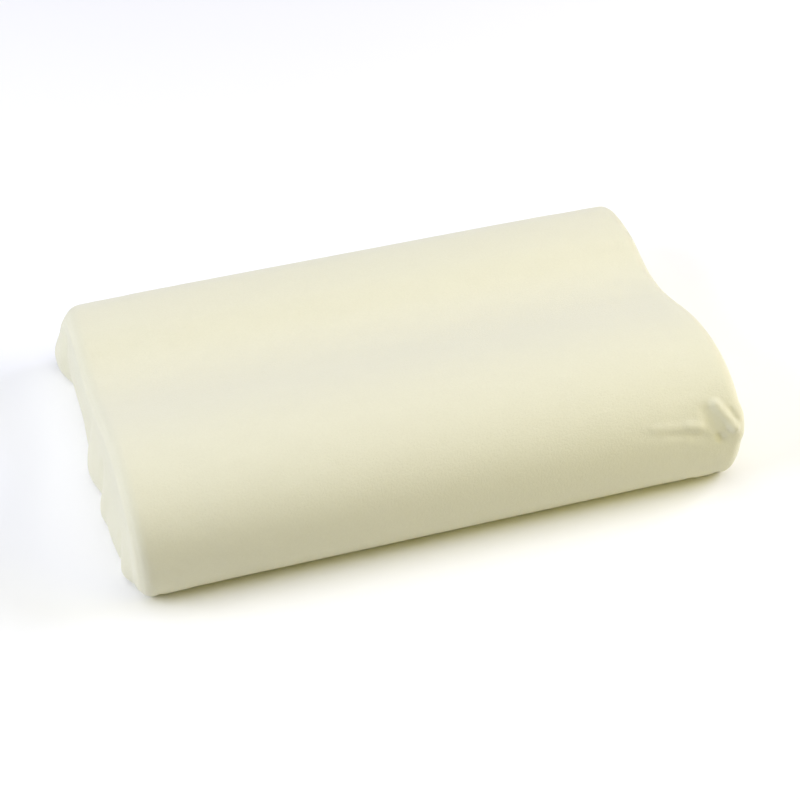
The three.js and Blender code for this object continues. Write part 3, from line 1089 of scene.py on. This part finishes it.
def make_label(material):
    """A blank care label, folded in half, sewn into the closed seam beside the zip."""
    low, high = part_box("care_label")
    middle, half = (low.x + high.x) / 2, (high.x - low.x) / 2
    profile = label_profile(low, high)
    hang = np.clip((high.z - profile[:, 1]) / (high.z - low.z), 0, 1)
    columns = []
    for u in np.linspace(-1, 1, 13):
        curl = LABEL_CURL * hang**2 * (0.35 + 0.65 * u * u) + LABEL_TWIST * hang * math.sin(3 * u)
        x = middle + u * half * (1 - LABEL_NARROWING * hang)
        columns.append(np.column_stack([x, profile[:, 0] + curl, profile[:, 1]]))
    rows = len(profile)
    cells = [(c * rows + r, (c + 1) * rows + r) for c in range(len(columns) - 1) for r in range(rows - 1)]
    faces = [(a, a + 1, b + 1, b) for a, b in cells]
    label = new_object("satin_label", *thicken(np.concatenate(columns), faces, LABEL_THICK))
    finish_piece(label, material, "care_label", "label")


def dress(name, material, edge=None):
    """A CAD node keeps its shape, with a new material and its edges broken by edge."""
    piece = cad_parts[name]
    piece.data.materials.clear()
    piece.data.materials.append(material)
    if edge:
        bevel = piece.modifiers.new("broken edges", "BEVEL")
        bevel.width, bevel.segments, bevel.angle_limit = edge, 2, math.radians(35)


def dress_cad_nodes(tape, metal):
    """The zip's tapes and its metal pieces."""
    for name in ("zip_tape_upper", "zip_tape_lower"):
        dress(name, tape)
    for name in ("zip_top_stop_upper", "zip_top_stop_lower", "zip_bottom_stop"):
        dress(name, metal, 0.3 * MM)
    for name in ("zip_slider_body", "zip_pull_tab"):
        dress(name, metal, 0.2 * MM)


# ---- Stage and light ----
FLOOR_HALF = 8
FLOOR_DROP = 0.2 * MM  # under the pillow's base


def make_floor():
    material, _, shader = new_material("floor", Roughness=0.9)
    shader.inputs["Base Color"].default_value = (0.95, 0.95, 0.95, 1)
    corners = [(FLOOR_HALF * x, FLOOR_HALF * y, 0) for x, y in ((-1, -1), (1, -1), (1, 1), (-1, 1))]
    floor = new_object("floor", corners, [(0, 1, 2, 3)])
    floor.location.z = -FLOOR_DROP
    floor.data.materials.append(material)


LIGHTS_AIM = Vector((0, 0, 0.03))
# Each light's name, place, size, power and colour.
LIGHTS = (
    ("top", (0, 0, 2.4), 2.4, 26.3, (1, 1, 1)),
    ("left", (-2, 0, 1.2), 1.6, 34.2, (0.89, 0.92, 1)),
    ("right", (2, 0, 1.2), 1.6, 39.3, (0.83, 0.83, 1)),
    ("rear left", (-1.4, 1.4, 1.6), 1.6, 11.4, (0.83, 0.83, 1)),
    ("front right", (1.25, -1, 1), 1.2, 8.7, (1, 0.885, 0.2)),
)


def area_light(name, place, size, power, colour):
    data = bpy.data.lights.new(name, "AREA")
    data.shape = "DISK"
    data.size = size
    data.energy = power
    data.color = colour
    light = bpy.data.objects.new(name, data)
    light.location = place
    light.rotation_euler = (Vector(place) - LIGHTS_AIM).to_track_quat("Z", "Y").to_euler()
    bpy.context.scene.collection.objects.link(light)


def make_light():
    for light in LIGHTS:
        area_light(*light)
    world = bpy.data.worlds.new("world")
    world.use_nodes = True
    background = world.node_tree.nodes["Background"]
    background.inputs["Color"].default_value = (1, 1, 1, 1)
    background.inputs["Strength"].default_value = 0.02
    bpy.context.scene.world = world
    bpy.context.scene.view_settings.view_transform = "Standard"


make_cover()
make_liner()
make_core()
thread = thread_material()
for side, name in ((-1, "left"), (1, "right")):
    make_overlock(side, name, thread)
nylon = nylon_material()
for name in ("upper", "lower"):
    make_coil(name, nylon)
    make_stitches(f"topstitch_{name}", f"zip_topstitch_{name}", TOPSTITCH, thread)
make_label(satin_material())
make_stitches("label_stitches", "care_label_stitching", LABEL_STITCHES, thread)
dress_cad_nodes(tape_material(), metal_material())
make_floor()
make_light()

bpy.context.view_layer.update()
